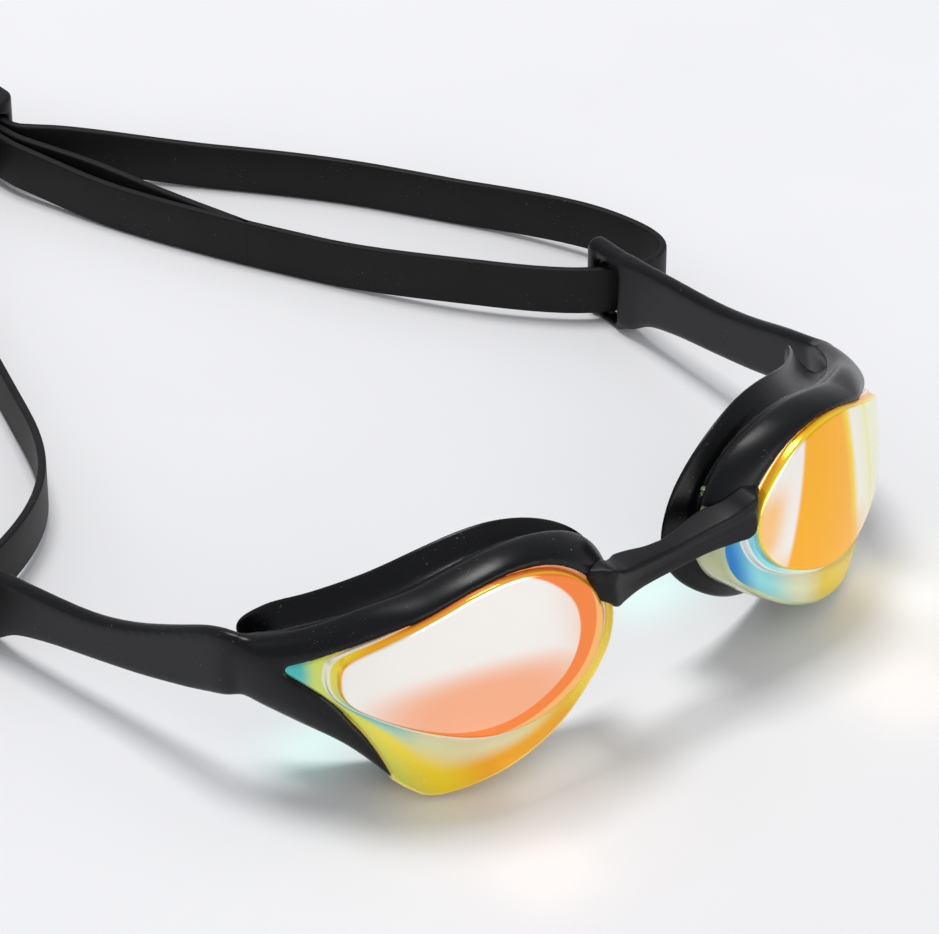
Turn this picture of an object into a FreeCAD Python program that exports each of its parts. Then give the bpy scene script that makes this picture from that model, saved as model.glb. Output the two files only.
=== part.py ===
"""Swim goggles lying on a table, as a FreeCAD document. Millimetres and degrees, +Z up.

X runs across the face, Y from the lenses to the back of the head strap. The shapes are drawn from the
middle of the nose bridge on the table, and each part is placed so that the origin is the centre of the
goggles' footprint.
"""
import FreeCAD, Part
import math
import os

V = FreeCAD.Vector

SIZES = {
    # the centre of the footprint, seen from the nose bridge
    "origin_across": -3.01,
    "origin_back": 105.7,
    # eyepieces: two mirrored frames, turned round the face
    "eye_gap": 25.4,
    "eye_height": 17.7,
    "wrap_angle": 17.5,
    "lean_angle": 5.0,
    "roll_angle": 2.5,
    # lens: barrel surfaces, bent round a tight radius across and a wide one up
    "optic_bend": 40.0,
    "optic_arch": 94.0,
    "optic_across": 21.1,
    "optic_up": 1.5,
    "step_back": 1.3,
    "step_out": 1.0,
    "rim_back": 2.7,
    "flange_back": 7.4,
    "lens_wall": 1.8,
    # brow frame round the top and temple of a lens
    "brow_proud": 0.5,
    "brow_back": 8.6,
    "brow_across": 18.0,
    "brow_stop": 1.0,
    # gasket: a neck behind the lens and a lip against the face
    "neck_inset": 2.6,
    "hole_inset": 5.0,
    "neck_back": 12.4,
    "lip_back": 13.8,
    "seal_bend": 50.0,
    "seal_across": 17.0,
    "seal_arch": 220.0,
    # nose bridge and the posts it clips round
    "post_across": 7.2,
    "post_back": 9.4,
    "post_radius": 1.2,
    "post_low": 23.2,
    "post_high": 28.0,
    "post_gap": 0.12,
    "web_thickness": 1.2,
    "web_length": 6.6,
    "web_turn": 12.0,
    "web_bite": 0.4,
    "mouth_width": 2.0,
    "mouth_length": 9.0,
    "bridge_low": 23.0,
    "bridge_high": 33.0,
    "bridge_cut": 70.0,
    # side arms
    "arm_thickness": 2.4,
    "arm_across": 56.8,
    "arm_back": 34.5,
    "arm_yaw_right": -3.9,
    "arm_yaw_left": 9.3,
    "knuckle_radius": 2.6,
    "knuckle_gap": 0.4,
    "knuckle_low": 14.2,
    "knuckle_height": 8.6,
    "slot_start": 50.4,
    "slot_length": 4.4,
    "slot_low": 1.0,
    "slot_height": 9.4,
    # head strap
    "strap_width": 8.2,
    "strap_thickness": 1.3,
    "strap_lift": 1.6,
    # rear clip
    "clip_width": 36.0,
    "clip_length": 13.0,
    "clip_height": 12.6,
    "clip_front": 187.2,
    "clip_round": 3.0,
    "channel_inner": 9.6,
    "channel_outer": 15.4,
    "channel_gap": 0.5,
}

# Outlines of an eyepiece, (across, up), from the nose side to the temple in the eyepiece's own frame
RIM = [(48.7, 7.2), (42.4, 10.4), (36.1, 13.0), (28.0, 16.3), (22.0, 18.3), (16.5, 19.0), (11.0, 18.0),
       (6.6, 15.4), (3.0, 11.6), (0.6, 7.4), (0.0, 3.0), (1.6, -1.4), (5.4, -5.2), (11.0, -9.6),
       (18.0, -13.0), (25.0, -14.9), (30.4, -15.3), (33.4, -13.6), (35.6, -11.5)]
RIM_FORK = [(35.6, -11.5), (37.4, -6.7), (39.8, -2.0), (43.6, 2.9), (48.7, 7.2)]
OPTIC = [(41.8, 6.4), (40.6, 9.8), (35.3, 12.6), (29.0, 15.2), (22.8, 17.4), (17.0, 18.1), (11.5, 17.0),
         (7.0, 14.0), (3.9, 9.6), (3.6, 4.6), (6.2, 0.0), (11.5, -3.2), (17.5, -4.9), (24.0, -4.7),
         (31.0, -2.4), (37.6, 0.9), (41.0, 3.4)]
BROW_TOP = [(0.8, 14.2), (3.2, 17.4), (6.8, 19.6), (11.8, 20.9), (17.5, 21.0), (23.5, 19.9), (30.0, 17.9),
            (37.0, 15.6), (44.0, 13.0), (53.4, 10.2)]
BROW_LEG = [(54.6, 6.0), (53.6, 1.8), (48.4, -1.8), (42.3, -5.9), (36.6, -11.9)]
BROW_INSIDE = [(35.0, -9.0), (38.0, 3.0), (28.0, 10.0), (12.0, 12.0), (4.4, 12.6)]
SEAL = [(49.4, 7.0), (46.0, 11.3), (40.0, 13.9), (33.0, 16.6), (26.0, 19.2), (20.0, 20.7), (14.5, 20.8),
        (9.0, 19.2), (4.0, 15.8), (0.2, 11.0), (-1.8, 5.6), (-1.4, 0.4), (2.0, -4.6), (8.0, -9.3),
        (15.0, -12.4), (22.5, -13.8), (30.0, -13.4), (36.6, -10.8), (42.0, -5.8), (46.6, 0.2)]

# Side arm, seen from the side: (back from the hinge, up)
ARM_TOP = [(0.0, 24.2), (5.0, 22.7), (12.0, 20.0), (20.0, 17.4), (28.0, 15.8), (39.0, 14.8), (49.0, 13.8),
           (58.0, 13.3)]
ARM_BOTTOM = [(49.8, 0.0), (46.4, 1.5), (42.0, 4.2), (35.0, 6.1), (26.0, 7.7), (17.0, 9.4), (8.0, 11.6),
              (0.0, 13.6)]
ARM_HEEL = (58.0, 0.0)

# Nose bridge: half of its plan (across, back) and half of its front view (across, up)
BRIDGE_FRONT = [(0.0, 7.2), (4.0, 7.0), (8.0, 6.4), (11.0, 5.5), (12.9, 4.7)]
BRIDGE_TIP = (13.7, 5.9)
BRIDGE_REAR = [(10.2, 7.3), (9.2, 9.6), (7.4, 11.7), (4.4, 11.0), (0.0, 10.4)]
BRIDGE_OVER = [(0.0, 27.2), (4.0, 27.6), (7.6, 28.2), (9.6, 29.0), (11.2, 30.8), (12.6, 31.8), (14.6, 32.0)]
BRIDGE_UNDER = [(14.6, 26.0), (13.2, 24.4), (11.6, 23.7), (8.0, 23.4), (4.0, 23.2), (0.0, 23.0)]

# Head strap, seen from above: centre lines from the rear clip through the arm's slot and back
STRAP_RIGHT = [(10.8, 208.0), (10.8, 181.5), (12.0, 176.5), (17.3, 158.5), (25.3, 139.5), (36.5, 117.0),
               (44.2, 104.0), (52.2, 93.8), (58.6, 88.0), (66.8, 84.4), (72.9, 87.6), (72.2, 98.5),
               (65.8, 115.5), (58.5, 128.5), (49.6, 143.6), (36.8, 160.0), (21.2, 178.2), (16.3, 182.6),
               (14.2, 185.2), (14.2, 208.0)]
SPLIT_RIGHT = [(12.5, 208.0), (12.5, 183.4), (13.9, 178.5), (19.6, 166.0), (22.6, 152.0), (26.6, 137.0)]
STRAP_LEFT = [(-10.8, 208.0), (-10.8, 181.5), (-12.1, 176.5), (-17.8, 158.5), (-25.2, 137.5),
              (-32.2, 117.5), (-36.5, 107.5), (-41.6, 99.7), (-48.4, 93.8), (-57.2, 89.2), (-66.4, 86.1),
              (-73.4, 83.6), (-79.0, 87.6), (-78.0, 98.5), (-71.6, 115.5), (-64.2, 129.5),
              (-54.5, 145.0), (-41.0, 161.0), (-21.6, 178.2), (-16.4, 182.6), (-14.2, 185.2),
              (-14.2, 208.0)]
SPLIT_LEFT = [(-12.5, 208.0), (-12.5, 183.4), (-13.9, 178.5), (-19.8, 166.0), (-23.0, 152.0),
              (-26.3, 135.0)]
BEND_SHARE = 0.45

# Cutting solids are made larger than what they cut
SPAN = 120.0
AHEAD = -2.0
LOW, HIGH = -40.0, 60.0
UPRIGHT = 0.9
AXIS_UP = V(0, 0, 1)
AXIS_BACK = V(0, 1, 0)

doc = FreeCAD.newDocument("swim_goggles")
sheet = doc.addObject("Spreadsheet::Sheet", "Sizes")
for row, (alias, value) in enumerate(SIZES.items(), start=1):
    sheet.set(f"A{row}", alias)
    sheet.set(f"B{row}", str(value))
    sheet.setAlias(f"B{row}", alias)
doc.recompute()


def size(alias):
    return float(getattr(sheet, alias))


ORIGIN = V(-size("origin_across"), -size("origin_back"), 0)


# ------------------------------------------------------------------ outlines and solids in code

def curve(points, closed=False):
    """A smooth edge through (across, up) points, in the plane of an eyepiece's front."""
    spline = Part.BSplineCurve()
    spline.interpolate([V(across, 0, up) for across, up in points], PeriodicFlag=closed)
    return spline.toShape()


def polyline(points):
    return [Part.LineSegment(V(a[0], 0, a[1]), V(b[0], 0, b[1])).toShape()
            for a, b in zip(points, points[1:])]


def grown(points, distance):
    """The closed outline moved outwards by a distance, point by point. It runs anticlockwise."""
    moved = []
    for index, (across, up) in enumerate(points):
        before = points[index - 1]
        after = points[(index + 1) % len(points)]
        normals = []
        for start, end in ((before, (across, up)), ((across, up), after)):
            run = math.hypot(end[0] - start[0], end[1] - start[1])
            normals.append(((end[1] - start[1]) / run, (start[0] - end[0]) / run))
        middle = (normals[0][0] + normals[1][0], normals[0][1] + normals[1][1])
        share = 2 * distance / (middle[0] ** 2 + middle[1] ** 2)
        moved.append((across + share * middle[0], up + share * middle[1]))
    return moved


def prism(edges, front, back):
    """Extrudes an outline backwards, from one depth to another."""
    face = Part.Face(Part.Wire(Part.sortEdges(edges)[0]))
    face.translate(V(0, front, 0))
    return face.extrude(V(0, back - front, 0))


def rim_edges(distance):
    corners = grown(RIM + RIM_FORK[1:-1], distance)
    top = corners[:len(RIM)]
    fork = corners[len(RIM) - 1:] + corners[:1]
    return [curve(top), curve(fork)]


def closed_edges(points, distance):
    return [curve(grown(points, distance), closed=True)]


def barrel(apex, bend, across, arch):
    """Everything behind a barrel surface: bent round `bend` across the face, and `arch` upwards."""
    centre = size("optic_up")
    half = size("optic_bend")
    sag = arch - math.sqrt(arch ** 2 - half ** 2)
    top = V(across, apex + sag, centre + half)
    bottom = V(across, apex + sag, centre - half)
    axis_top = V(across, apex + bend, centre + half)
    axis_bottom = V(across, apex + bend, centre - half)
    profile = Part.Wire([
        Part.Arc(bottom, V(across, apex, centre), top).toShape(),
        Part.LineSegment(top, axis_top).toShape(),
        Part.LineSegment(axis_top, axis_bottom).toShape(),
        Part.LineSegment(axis_bottom, bottom).toShape()])
    return Part.Face(profile).revolve(axis_bottom, AXIS_UP, 360)


def optic_barrel(apex):
    return barrel(apex, size("optic_bend"), size("optic_across"), size("optic_arch"))


def seal_barrel(apex):
    return barrel(apex, size("seal_bend"), size("seal_across"), size("seal_arch"))


def placed(shape):
    """Moves a shape from the eyepiece's frame to its place on the wearer's left."""
    turn = FreeCAD.Rotation(AXIS_UP, size("wrap_angle"))
    lean = FreeCAD.Rotation(V(1, 0, 0), -size("lean_angle"))
    roll = FreeCAD.Rotation(AXIS_BACK, size("roll_angle"))
    rotation = turn.multiply(lean).multiply(roll)
    shape.Placement = FreeCAD.Placement(V(size("eye_gap") / 2, 0, size("eye_height")), rotation)
    return shape


def add_shape(label, shape):
    part = doc.addObject("Part::Feature", label)
    part.Shape = shape
    part.Label = label
    part.Placement = FreeCAD.Placement(ORIGIN, FreeCAD.Rotation())
    part.setExpression("Placement.Base.x", "-Sizes.origin_across")
    part.setExpression("Placement.Base.y", "-Sizes.origin_back")
    return part


# ------------------------------------------------------------------ eyepieces

def lens_outer(extra):
    """The lens's outer form: optical face, one step below it and the rim, `extra` larger all over."""
    back = size("optic_bend")
    rim = prism(rim_edges(extra), -extra, back).common(optic_barrel(size("rim_back") - extra))
    step = prism(closed_edges(OPTIC, size("step_out") + extra), -extra, back)
    step = step.common(optic_barrel(size("step_back") - extra)).common(prism(rim_edges(extra), -extra, back))
    face = prism(closed_edges(OPTIC, extra), AHEAD - extra, back).common(optic_barrel(-extra))
    return rim.fuse([step, face])


def lens_shape():
    wall = size("lens_wall")
    flange = optic_barrel(size("flange_back"))
    outer = lens_outer(0.0).cut(flange)
    bowl = prism(closed_edges(OPTIC, -wall), AHEAD, size("optic_bend")).common(optic_barrel(wall))
    inside = prism(rim_edges(-wall), AHEAD, size("optic_bend"))
    inside = inside.common(optic_barrel(size("rim_back") + wall))
    hollow = bowl.fuse(inside)
    shell = placed(outer.cut(hollow)).cut(under_table())
    keep_clear = placed(prism(rim_edges(-size("web_bite")), AHEAD, size("optic_bend")))
    return shell.fuse(clip_post().cut(keep_clear)).removeSplitter()


def under_table():
    """Everything below the surface that the goggles lie on."""
    return Part.makeBox(2 * SPAN, SPAN, -LOW, V(-SPAN, LOW, LOW))


def clip_post():
    """The upright post beside the nose-side wall that the bridge snaps round, with its web."""
    foot = V(size("post_across"), size("post_back"), size("post_low"))
    height = size("post_high") - size("post_low")
    web_thickness = size("web_thickness")
    post = Part.makeCylinder(size("post_radius"), height, foot)
    web = Part.makeBox(size("web_length"), web_thickness, height, V(0, -web_thickness / 2, 0))
    web.Placement = FreeCAD.Placement(foot, FreeCAD.Rotation(AXIS_UP, size("web_turn")))
    return post.fuse(web)


def brow_shape(lens):
    edges = [curve(BROW_TOP), *polyline([BROW_TOP[-1], BROW_LEG[0]]), curve(BROW_LEG),
             *polyline([BROW_LEG[-1], *BROW_INSIDE, BROW_TOP[0]])]
    front = size("rim_back") - size("brow_proud")
    ring = prism(edges, 0, 2 * size("optic_bend"))
    ring = ring.common(optic_barrel(front)).cut(prism(rim_edges(0.0), AHEAD, SPAN))
    back = barrel(size("brow_back"), size("optic_bend"), size("brow_across"), size("optic_arch"))
    brow = placed(ring.cut(back))
    hinge = V(size("arm_across"), size("arm_back"), LOW)
    socket = Part.makeCylinder(size("knuckle_radius") + size("knuckle_gap"), SPAN, hinge)
    behind = Part.makeBox(SPAN, SPAN, SPAN, V(0, size("arm_back") - size("brow_stop"), LOW))
    return largest(brow.cut([socket, behind, lens]))


def seal_shape(lens, brow):
    neck_barrel = seal_barrel(size("neck_back"))
    lip_barrel = seal_barrel(size("lip_back"))
    flange = optic_barrel(size("flange_back"))
    neck = prism(closed_edges(SEAL, -size("neck_inset")), 0, SPAN).common(flange).cut(neck_barrel)
    lip = prism(closed_edges(SEAL, 0.0), 0, SPAN).common(neck_barrel).cut(lip_barrel)
    hole = prism(closed_edges(SEAL, -size("hole_inset")), AHEAD, SPAN)
    seal = placed(neck.fuse(lip).cut(hole))
    return largest(seal.cut([lens, brow, under_table()]))


def largest(shape):
    return max(shape.Solids, key=lambda solid: solid.Volume)


def mirrored(part, label):
    twin = doc.addObject("Part::Mirroring", label)
    twin.Source = part
    twin.Normal = V(1, 0, 0)
    twin.setExpression("Base.x", "-Sizes.origin_across")
    twin.Label = label
    return twin


lens = lens_shape()
brow = brow_shape(lens)
seal = seal_shape(lens, brow)
eyepiece = {"lens": lens, "brow_frame": brow, "gasket": seal}
mirrored_parts = []
plain_parts = []
for name, shape in eyepiece.items():
    right = add_shape(f"{name}_right", shape)
    plain_parts.append(right)
    mirrored_parts.append(mirrored(right, f"{name}_left"))


# ------------------------------------------------------------------ bodies with sketches

def new_body(label, across="0", back="0", turn="0"):
    """A body whose zero lies `across` and `back` from the nose bridge, turned by an angle."""
    body = doc.addObject("PartDesign::Body", label)
    body.Label = label
    body.setExpression("Placement.Base.x", f"{across} - Sizes.origin_across")
    body.setExpression("Placement.Base.y", f"{back} - Sizes.origin_back")
    body.setExpression("Placement.Rotation.Angle", turn)
    return body


def new_sketch(body, plane, edges, offset=None):
    """A sketch on one of the body's own origin planes, holding the given curves."""
    sketch = body.newObject("Sketcher::SketchObject", f"{body.Label}_sketch")
    support = [item for item in body.Origin.OriginFeatures if item.Role == plane][0]
    sketch.AttachmentSupport = [(support, "")]
    sketch.MapMode = "FlatFace"
    if offset:
        sketch.AttachmentOffset = FreeCAD.Placement(V(0, 0, size(offset)), FreeCAD.Rotation())
        sketch.setExpression("AttachmentOffset.Base.z", f"Sizes.{offset}")
    sketch.addGeometry(edges, False)
    return sketch


def new_pad(body, sketch, length, symmetric=False):
    pad = body.newObject("PartDesign::Pad", f"{body.Label}_pad")
    pad.Profile = sketch
    pad.setExpression("Length", length)
    if symmetric:
        pad.SideType = "Symmetric"
    return pad


def new_pocket(body, sketch, length):
    """A cut to both sides of its sketch."""
    pocket = body.newObject("PartDesign::Pocket", f"{body.Label}_pocket")
    pocket.Profile = sketch
    pocket.SideType = "Symmetric"
    pocket.setExpression("Length", length)
    return pocket


def flat(point):
    return V(point[0], point[1], 0)


def loop(*runs):
    """Closed sketch curves: each run of points is a smooth spline, or a line where it has only two."""
    edges = []
    for run in runs:
        if len(run) == 2:
            edges.append(Part.LineSegment(flat(run[0]), flat(run[1])))
        else:
            spline = Part.BSplineCurve()
            spline.interpolate([flat(point) for point in run])
            edges.append(spline)
    return edges


def box_loop(low_across, low_up, high_across, high_up):
    corners = [(low_across, low_up), (high_across, low_up), (high_across, high_up), (low_across, high_up)]
    return loop(*[(a, b) for a, b in zip(corners, corners[1:] + corners[:1])])


# ------------------------------------------------------------------ side arms

def make_arm(label, across, yaw):
    """A side arm: a flat strip with a knuckle at the temple and a slot at the other end."""
    body = new_body(label, across, "Sizes.arm_back", yaw)
    side_view = loop(ARM_TOP, (ARM_TOP[-1], ARM_HEEL), (ARM_HEEL, ARM_BOTTOM[0]), ARM_BOTTOM,
                     (ARM_BOTTOM[-1], ARM_TOP[0]))
    new_pad(body, new_sketch(body, "YZ_Plane", side_view), "Sizes.arm_thickness", symmetric=True)
    doc.recompute()
    slot = box_loop(size("slot_start"), size("slot_low"), size("slot_start") + size("slot_length"),
                    size("slot_low") + size("slot_height"))
    new_pocket(body, new_sketch(body, "YZ_Plane", slot), "Sizes.arm_thickness * 2")
    knuckle = [Part.Circle(V(0, 0, 0), AXIS_UP, size("knuckle_radius"))]
    new_pad(body, new_sketch(body, "XY_Plane", knuckle, "knuckle_low"), "Sizes.knuckle_height")
    doc.recompute()
    return body


arm_right = make_arm("side_arm_right", "Sizes.arm_across", "Sizes.arm_yaw_right")
arm_left = make_arm("side_arm_left", "-Sizes.arm_across", "Sizes.arm_yaw_left")


# ------------------------------------------------------------------ nose bridge

def both_halves(half):
    """A half outline and its mirror image, as one run from the far left to the far right."""
    return [(-across, other) for across, other in reversed(half[1:])] + half


def make_bridge():
    body = new_body("nose_bridge")
    front = both_halves(BRIDGE_FRONT)
    rear = both_halves(BRIDGE_REAR[::-1])[::-1]
    tip = BRIDGE_TIP
    far_tip = (-tip[0], tip[1])
    plan = loop(front, (front[-1], tip), (tip, rear[0]), rear, (rear[-1], far_tip), (far_tip, front[0]))
    new_pad(body, new_sketch(body, "XY_Plane", plan, "bridge_low"), "Sizes.bridge_high - Sizes.bridge_low")
    doc.recompute()
    over = both_halves(BRIDGE_OVER)
    under = both_halves(BRIDGE_UNDER[::-1])
    far = over[-1][0]
    above = loop(over, (over[-1], (far, HIGH)), ((far, HIGH), (-far, HIGH)), ((-far, HIGH), over[0]))
    below = loop(under, (under[-1], (far, LOW)), ((far, LOW), (-far, LOW)), ((-far, LOW), under[0]))
    for silhouette in (above, below):
        new_pocket(body, new_sketch(body, "XZ_Plane", silhouette), "Sizes.bridge_cut")
        doc.recompute()
    mouth = size("mouth_width") / 2
    length = size("mouth_length")
    turn = math.radians(size("web_turn"))
    for side in (-1, 1):
        post = (side * size("post_across"), size("post_back"))
        hole = [Part.Circle(flat(post), AXIS_UP, size("post_radius") + size("post_gap"))]
        new_pocket(body, new_sketch(body, "XY_Plane", hole), "Sizes.bridge_cut")
        doc.recompute()
        reach = [(0.0, -mouth), (length, -mouth), (length, mouth), (0.0, mouth)]
        turned = [(post[0] + side * (along * math.cos(turn) - across * math.sin(turn)),
                   post[1] + along * math.sin(turn) + across * math.cos(turn)) for along, across in reach]
        gap = loop(*[(a, b) for a, b in zip(turned, turned[1:] + turned[:1])])
        new_pocket(body, new_sketch(body, "XY_Plane", gap), "Sizes.bridge_cut")
        doc.recompute()
    return body


bridge = make_bridge()


# ------------------------------------------------------------------ head strap

def band_edges(points, thickness):
    """The plan of a flat band: straight runs joined by tangent arcs, offset to both sides."""
    route = [flat(point) for point in points]
    half = thickness / 2
    sides = {1: [], -1: []}
    last = {}
    first = {}
    start_run = (route[1] - route[0]).normalize()
    for side in sides:
        first[side] = route[0] + AXIS_UP.cross(start_run) * half * side
        last[side] = first[side]
    for before, corner, after in zip(route, route[1:], route[2:]):
        run_in = (corner - before).normalize()
        run_out = (after - corner).normalize()
        turn = run_in.getAngle(run_out)
        hand = 1 if run_in.cross(run_out).z > 0 else -1
        shorter = min(before.distanceToPoint(corner), corner.distanceToPoint(after))
        radius = BEND_SHARE * shorter / math.tan(turn / 2)
        cut_in = corner - run_in * BEND_SHARE * shorter
        centre = cut_in + AXIS_UP.cross(run_in) * radius * hand
        middle = (corner - centre).normalize()
        for side in sides:
            arm = radius - half * side * hand
            begin = centre - AXIS_UP.cross(run_in) * arm * hand
            end = centre - AXIS_UP.cross(run_out) * arm * hand
            sides[side].append(Part.LineSegment(last[side], begin))
            sides[side].append(Part.Arc(begin, centre + middle * arm, end))
            last[side] = end
    end_run = (route[-1] - route[-2]).normalize()
    ends = {side: route[-1] + AXIS_UP.cross(end_run) * half * side for side in sides}
    edges = []
    for side in sides:
        edges += sides[side] + [Part.LineSegment(last[side], ends[side])]
    return edges + [Part.LineSegment(first[1], first[-1]), Part.LineSegment(ends[1], ends[-1])]


def make_strap(label, band, split):
    """One half of the head strap: a band folded through its arm's slot, split in two near the clip."""
    body = new_body(label)
    for route in (band, split):
        edges = band_edges(route, size("strap_thickness"))
        new_pad(body, new_sketch(body, "XY_Plane", edges, "strap_lift"), "Sizes.strap_width")
        doc.recompute()
    return body


strap_right = make_strap("head_strap_right", STRAP_RIGHT, SPLIT_RIGHT)
strap_left = make_strap("head_strap_left", STRAP_LEFT, SPLIT_LEFT)


# ------------------------------------------------------------------ rear clip

def make_clip():
    """A moulded block with one channel for each half's three bands."""
    body = new_body("rear_clip")
    half = size("clip_width") / 2
    front = size("clip_front")
    back = front + size("clip_length")
    plan = box_loop(-half, front, half, back)
    block = new_pad(body, new_sketch(body, "XY_Plane", plan), "Sizes.clip_height")
    doc.recompute()
    uprights = [f"Edge{index}" for index, edge in enumerate(block.Shape.Edges, start=1)
                if abs(edge.tangentAt(edge.FirstParameter).z) > UPRIGHT]
    fillet = body.newObject("PartDesign::Fillet", "rear_clip_fillet")
    fillet.Base = (block, uprights)
    fillet.setExpression("Radius", "Sizes.clip_round")
    doc.recompute()
    low = size("strap_lift") - size("channel_gap")
    high = size("strap_lift") + size("strap_width") + size("channel_gap")
    inner = size("channel_inner")
    outer = size("channel_outer")
    for near, far in ((inner, outer), (-outer, -inner)):
        channel = box_loop(near, low, far, high)
        new_pocket(body, new_sketch(body, "XZ_Plane", channel), "(Sizes.clip_front + Sizes.clip_length) * 3")
        doc.recompute()
    return body


clip = make_clip()


# ------------------------------------------------------------------ checks and files

doc.recompute()
bodies = [arm_right, arm_left, bridge, strap_right, strap_left, clip]
for item in doc.Objects:
    bad = [word for word in item.State if word in ("Invalid", "Error")]
    if bad:
        raise RuntimeError(f"{item.Label}: {bad}")

os.makedirs("parts", exist_ok=True)
for node in plain_parts + mirrored_parts + bodies:
    solid = node.Shape
    if solid.isNull() or not solid.isValid() or len(solid.Solids) != 1:
        raise RuntimeError(f"{node.Label}: not one valid solid")
    solid.exportStep(f"parts/{node.Label}.step")
    print(f"{node.Label}: {solid.Volume:.0f} mm3")
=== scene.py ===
"""Looks of the swim goggles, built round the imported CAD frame.

Shapes are drawn in millimetres about the nose bridge; lights and camera are in the row's metres.
"""

import math

import bmesh
import bpy
import numpy as np
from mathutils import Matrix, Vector


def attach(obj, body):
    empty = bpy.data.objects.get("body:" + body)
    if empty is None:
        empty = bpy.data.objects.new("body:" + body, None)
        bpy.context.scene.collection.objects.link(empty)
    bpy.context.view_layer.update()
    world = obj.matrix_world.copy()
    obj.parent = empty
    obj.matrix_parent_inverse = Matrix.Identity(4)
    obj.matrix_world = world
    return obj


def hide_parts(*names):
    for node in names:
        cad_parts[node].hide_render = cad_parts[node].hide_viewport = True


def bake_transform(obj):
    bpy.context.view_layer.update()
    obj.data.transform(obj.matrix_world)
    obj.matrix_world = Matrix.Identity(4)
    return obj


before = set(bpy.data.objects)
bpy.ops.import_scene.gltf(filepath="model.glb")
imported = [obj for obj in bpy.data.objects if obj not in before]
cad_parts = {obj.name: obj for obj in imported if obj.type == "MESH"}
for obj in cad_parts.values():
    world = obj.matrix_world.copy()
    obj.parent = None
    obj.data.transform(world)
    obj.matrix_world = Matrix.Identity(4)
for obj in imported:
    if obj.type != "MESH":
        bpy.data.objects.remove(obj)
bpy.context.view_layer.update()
MM = 0.001

# ------------------------------------------------------------------ frames of reference

FOOTPRINT = np.array([-3.01, 105.70, 0.0])     # the row's origin, seen from the nose bridge on the table
EYE_PLACE = np.array([12.7, 0.0, 17.7])
SIDES = {"right": 1, "left": -1}


def spin(axis, degrees):
    """Rotation matrix about X, Y or Z."""
    c, s = math.cos(math.radians(degrees)), math.sin(math.radians(degrees))
    return np.array({"x": [[1, 0, 0], [0, c, -s], [0, s, c]],
                     "y": [[c, 0, s], [0, 1, 0], [-s, 0, c]],
                     "z": [[c, -s, 0], [s, c, 0], [0, 0, 1]]}[axis], float)


EYE_TURN = spin("z", 17.5) @ spin("x", -5.0) @ spin("y", 2.5)


def row(points):
    """From millimetres about the nose bridge to the row's metres."""
    return (np.asarray(points, float) - FOOTPRINT) * MM


def from_eye(local, side):
    """From an eyepiece's (across, back, up) to millimetres about the nose bridge."""
    moved = np.asarray(local, float) @ EYE_TURN.T + EYE_PLACE
    moved[..., 0] *= side
    return moved


# ------------------------------------------------------------------ curves and skins

def catmull(points, closed=False, steps=24):
    """A smooth line through points, sampled finely."""
    p = np.asarray(points, float)
    if closed:
        p = np.vstack([p[-1], p, p[0], p[1]])
    else:
        p = np.vstack([2 * p[0] - p[1], p, 2 * p[-1] - p[-2]])
    out = []
    for a, b, c, d in zip(p, p[1:], p[2:], p[3:]):
        t = np.linspace(0, 1, steps, endpoint=False)[:, None]
        out.append(0.5 * (2 * b + (c - a) * t + (2 * a - 5 * b + 4 * c - d) * t ** 2
                          + (3 * b - a - 3 * c + d) * t ** 3))
    line = np.vstack(out)
    return line if closed else np.vstack([line, p[-2]])


def spaced(line, count, closed=False):
    """The line resampled to evenly spaced points."""
    if closed:
        line = np.vstack([line, line[:1]])
    run = np.concatenate([[0], np.cumsum(np.linalg.norm(np.diff(line, axis=0), axis=1))])
    at = np.linspace(0, run[-1], count, endpoint=not closed)
    return np.stack([np.interp(at, run, line[:, k]) for k in range(line.shape[1])], axis=1)


def radii(line, centre, angles):
    """How far a star-shaped outline lies from its centre, by angle."""
    off = line - centre
    around = np.arctan2(off[:, 1], off[:, 0])
    order = np.argsort(around)
    return np.interp(angles, around[order], np.hypot(off[:, 0], off[:, 1])[order], period=2 * math.pi)


def linked(name, data):
    """A new object in the scene that holds the data."""
    made = bpy.data.objects.new(name, data)
    bpy.context.scene.collection.objects.link(made)
    return made


def mesh_piece(name, verts, faces, smooth_angle=40):
    """A mesh object with outward normals, smooth but for edges sharper than the angle in degrees."""
    mesh = bpy.data.meshes.new(name)
    mesh.from_pydata([tuple(v) for v in verts], [], faces)
    work = bmesh.new()
    work.from_mesh(mesh)
    bmesh.ops.recalc_face_normals(work, faces=work.faces)
    work.to_mesh(mesh)
    work.free()
    mesh.shade_smooth()
    mesh.set_sharp_from_angle(angle=math.radians(smooth_angle))
    return linked(name, mesh)


def skin(name, rings, joined=False, **options):
    """Quads between closed rings of equal count; the ends are capped, or the last ring joins the first."""
    rings = np.asarray(rings, float)
    count, around = rings.shape[:2]
    faces = []
    spans = count if joined else count - 1
    for i in range(spans):
        a, b = i * around, ((i + 1) % count) * around
        for j in range(around):
            k = (j + 1) % around
            faces.append((a + j, a + k, b + k, b + j))
    if not joined:
        faces.append(tuple(range(around)))
        faces.append(tuple(range((count - 1) * around, count * around)))
    return mesh_piece(name, rings.reshape(-1, 3), faces, **options)


def paint(piece, name, values):
    """A vector stored on each vertex, for the material to read."""
    layer = piece.data.attributes.new(name, "FLOAT_VECTOR", "POINT")
    layer.data.foreach_set("vector", np.asarray(values, np.float32).reshape(-1))


def rounded_corners(half_wide, half_tall, corner, steps):
    """The four corner arcs of a rounded rectangle, from the upper right one round to the lower right."""
    quarters = []
    for sign_wide, sign_tall, first in ((1, 1, 0), (-1, 1, 90), (-1, -1, 180), (1, -1, 270)):
        turn = np.radians(first + np.linspace(0, 90, steps))
        quarters.append(np.stack([sign_wide * (half_wide - corner) + corner * np.cos(turn),
                                  sign_tall * (half_tall - corner) + corner * np.sin(turn)], axis=1))
    return quarters


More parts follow.
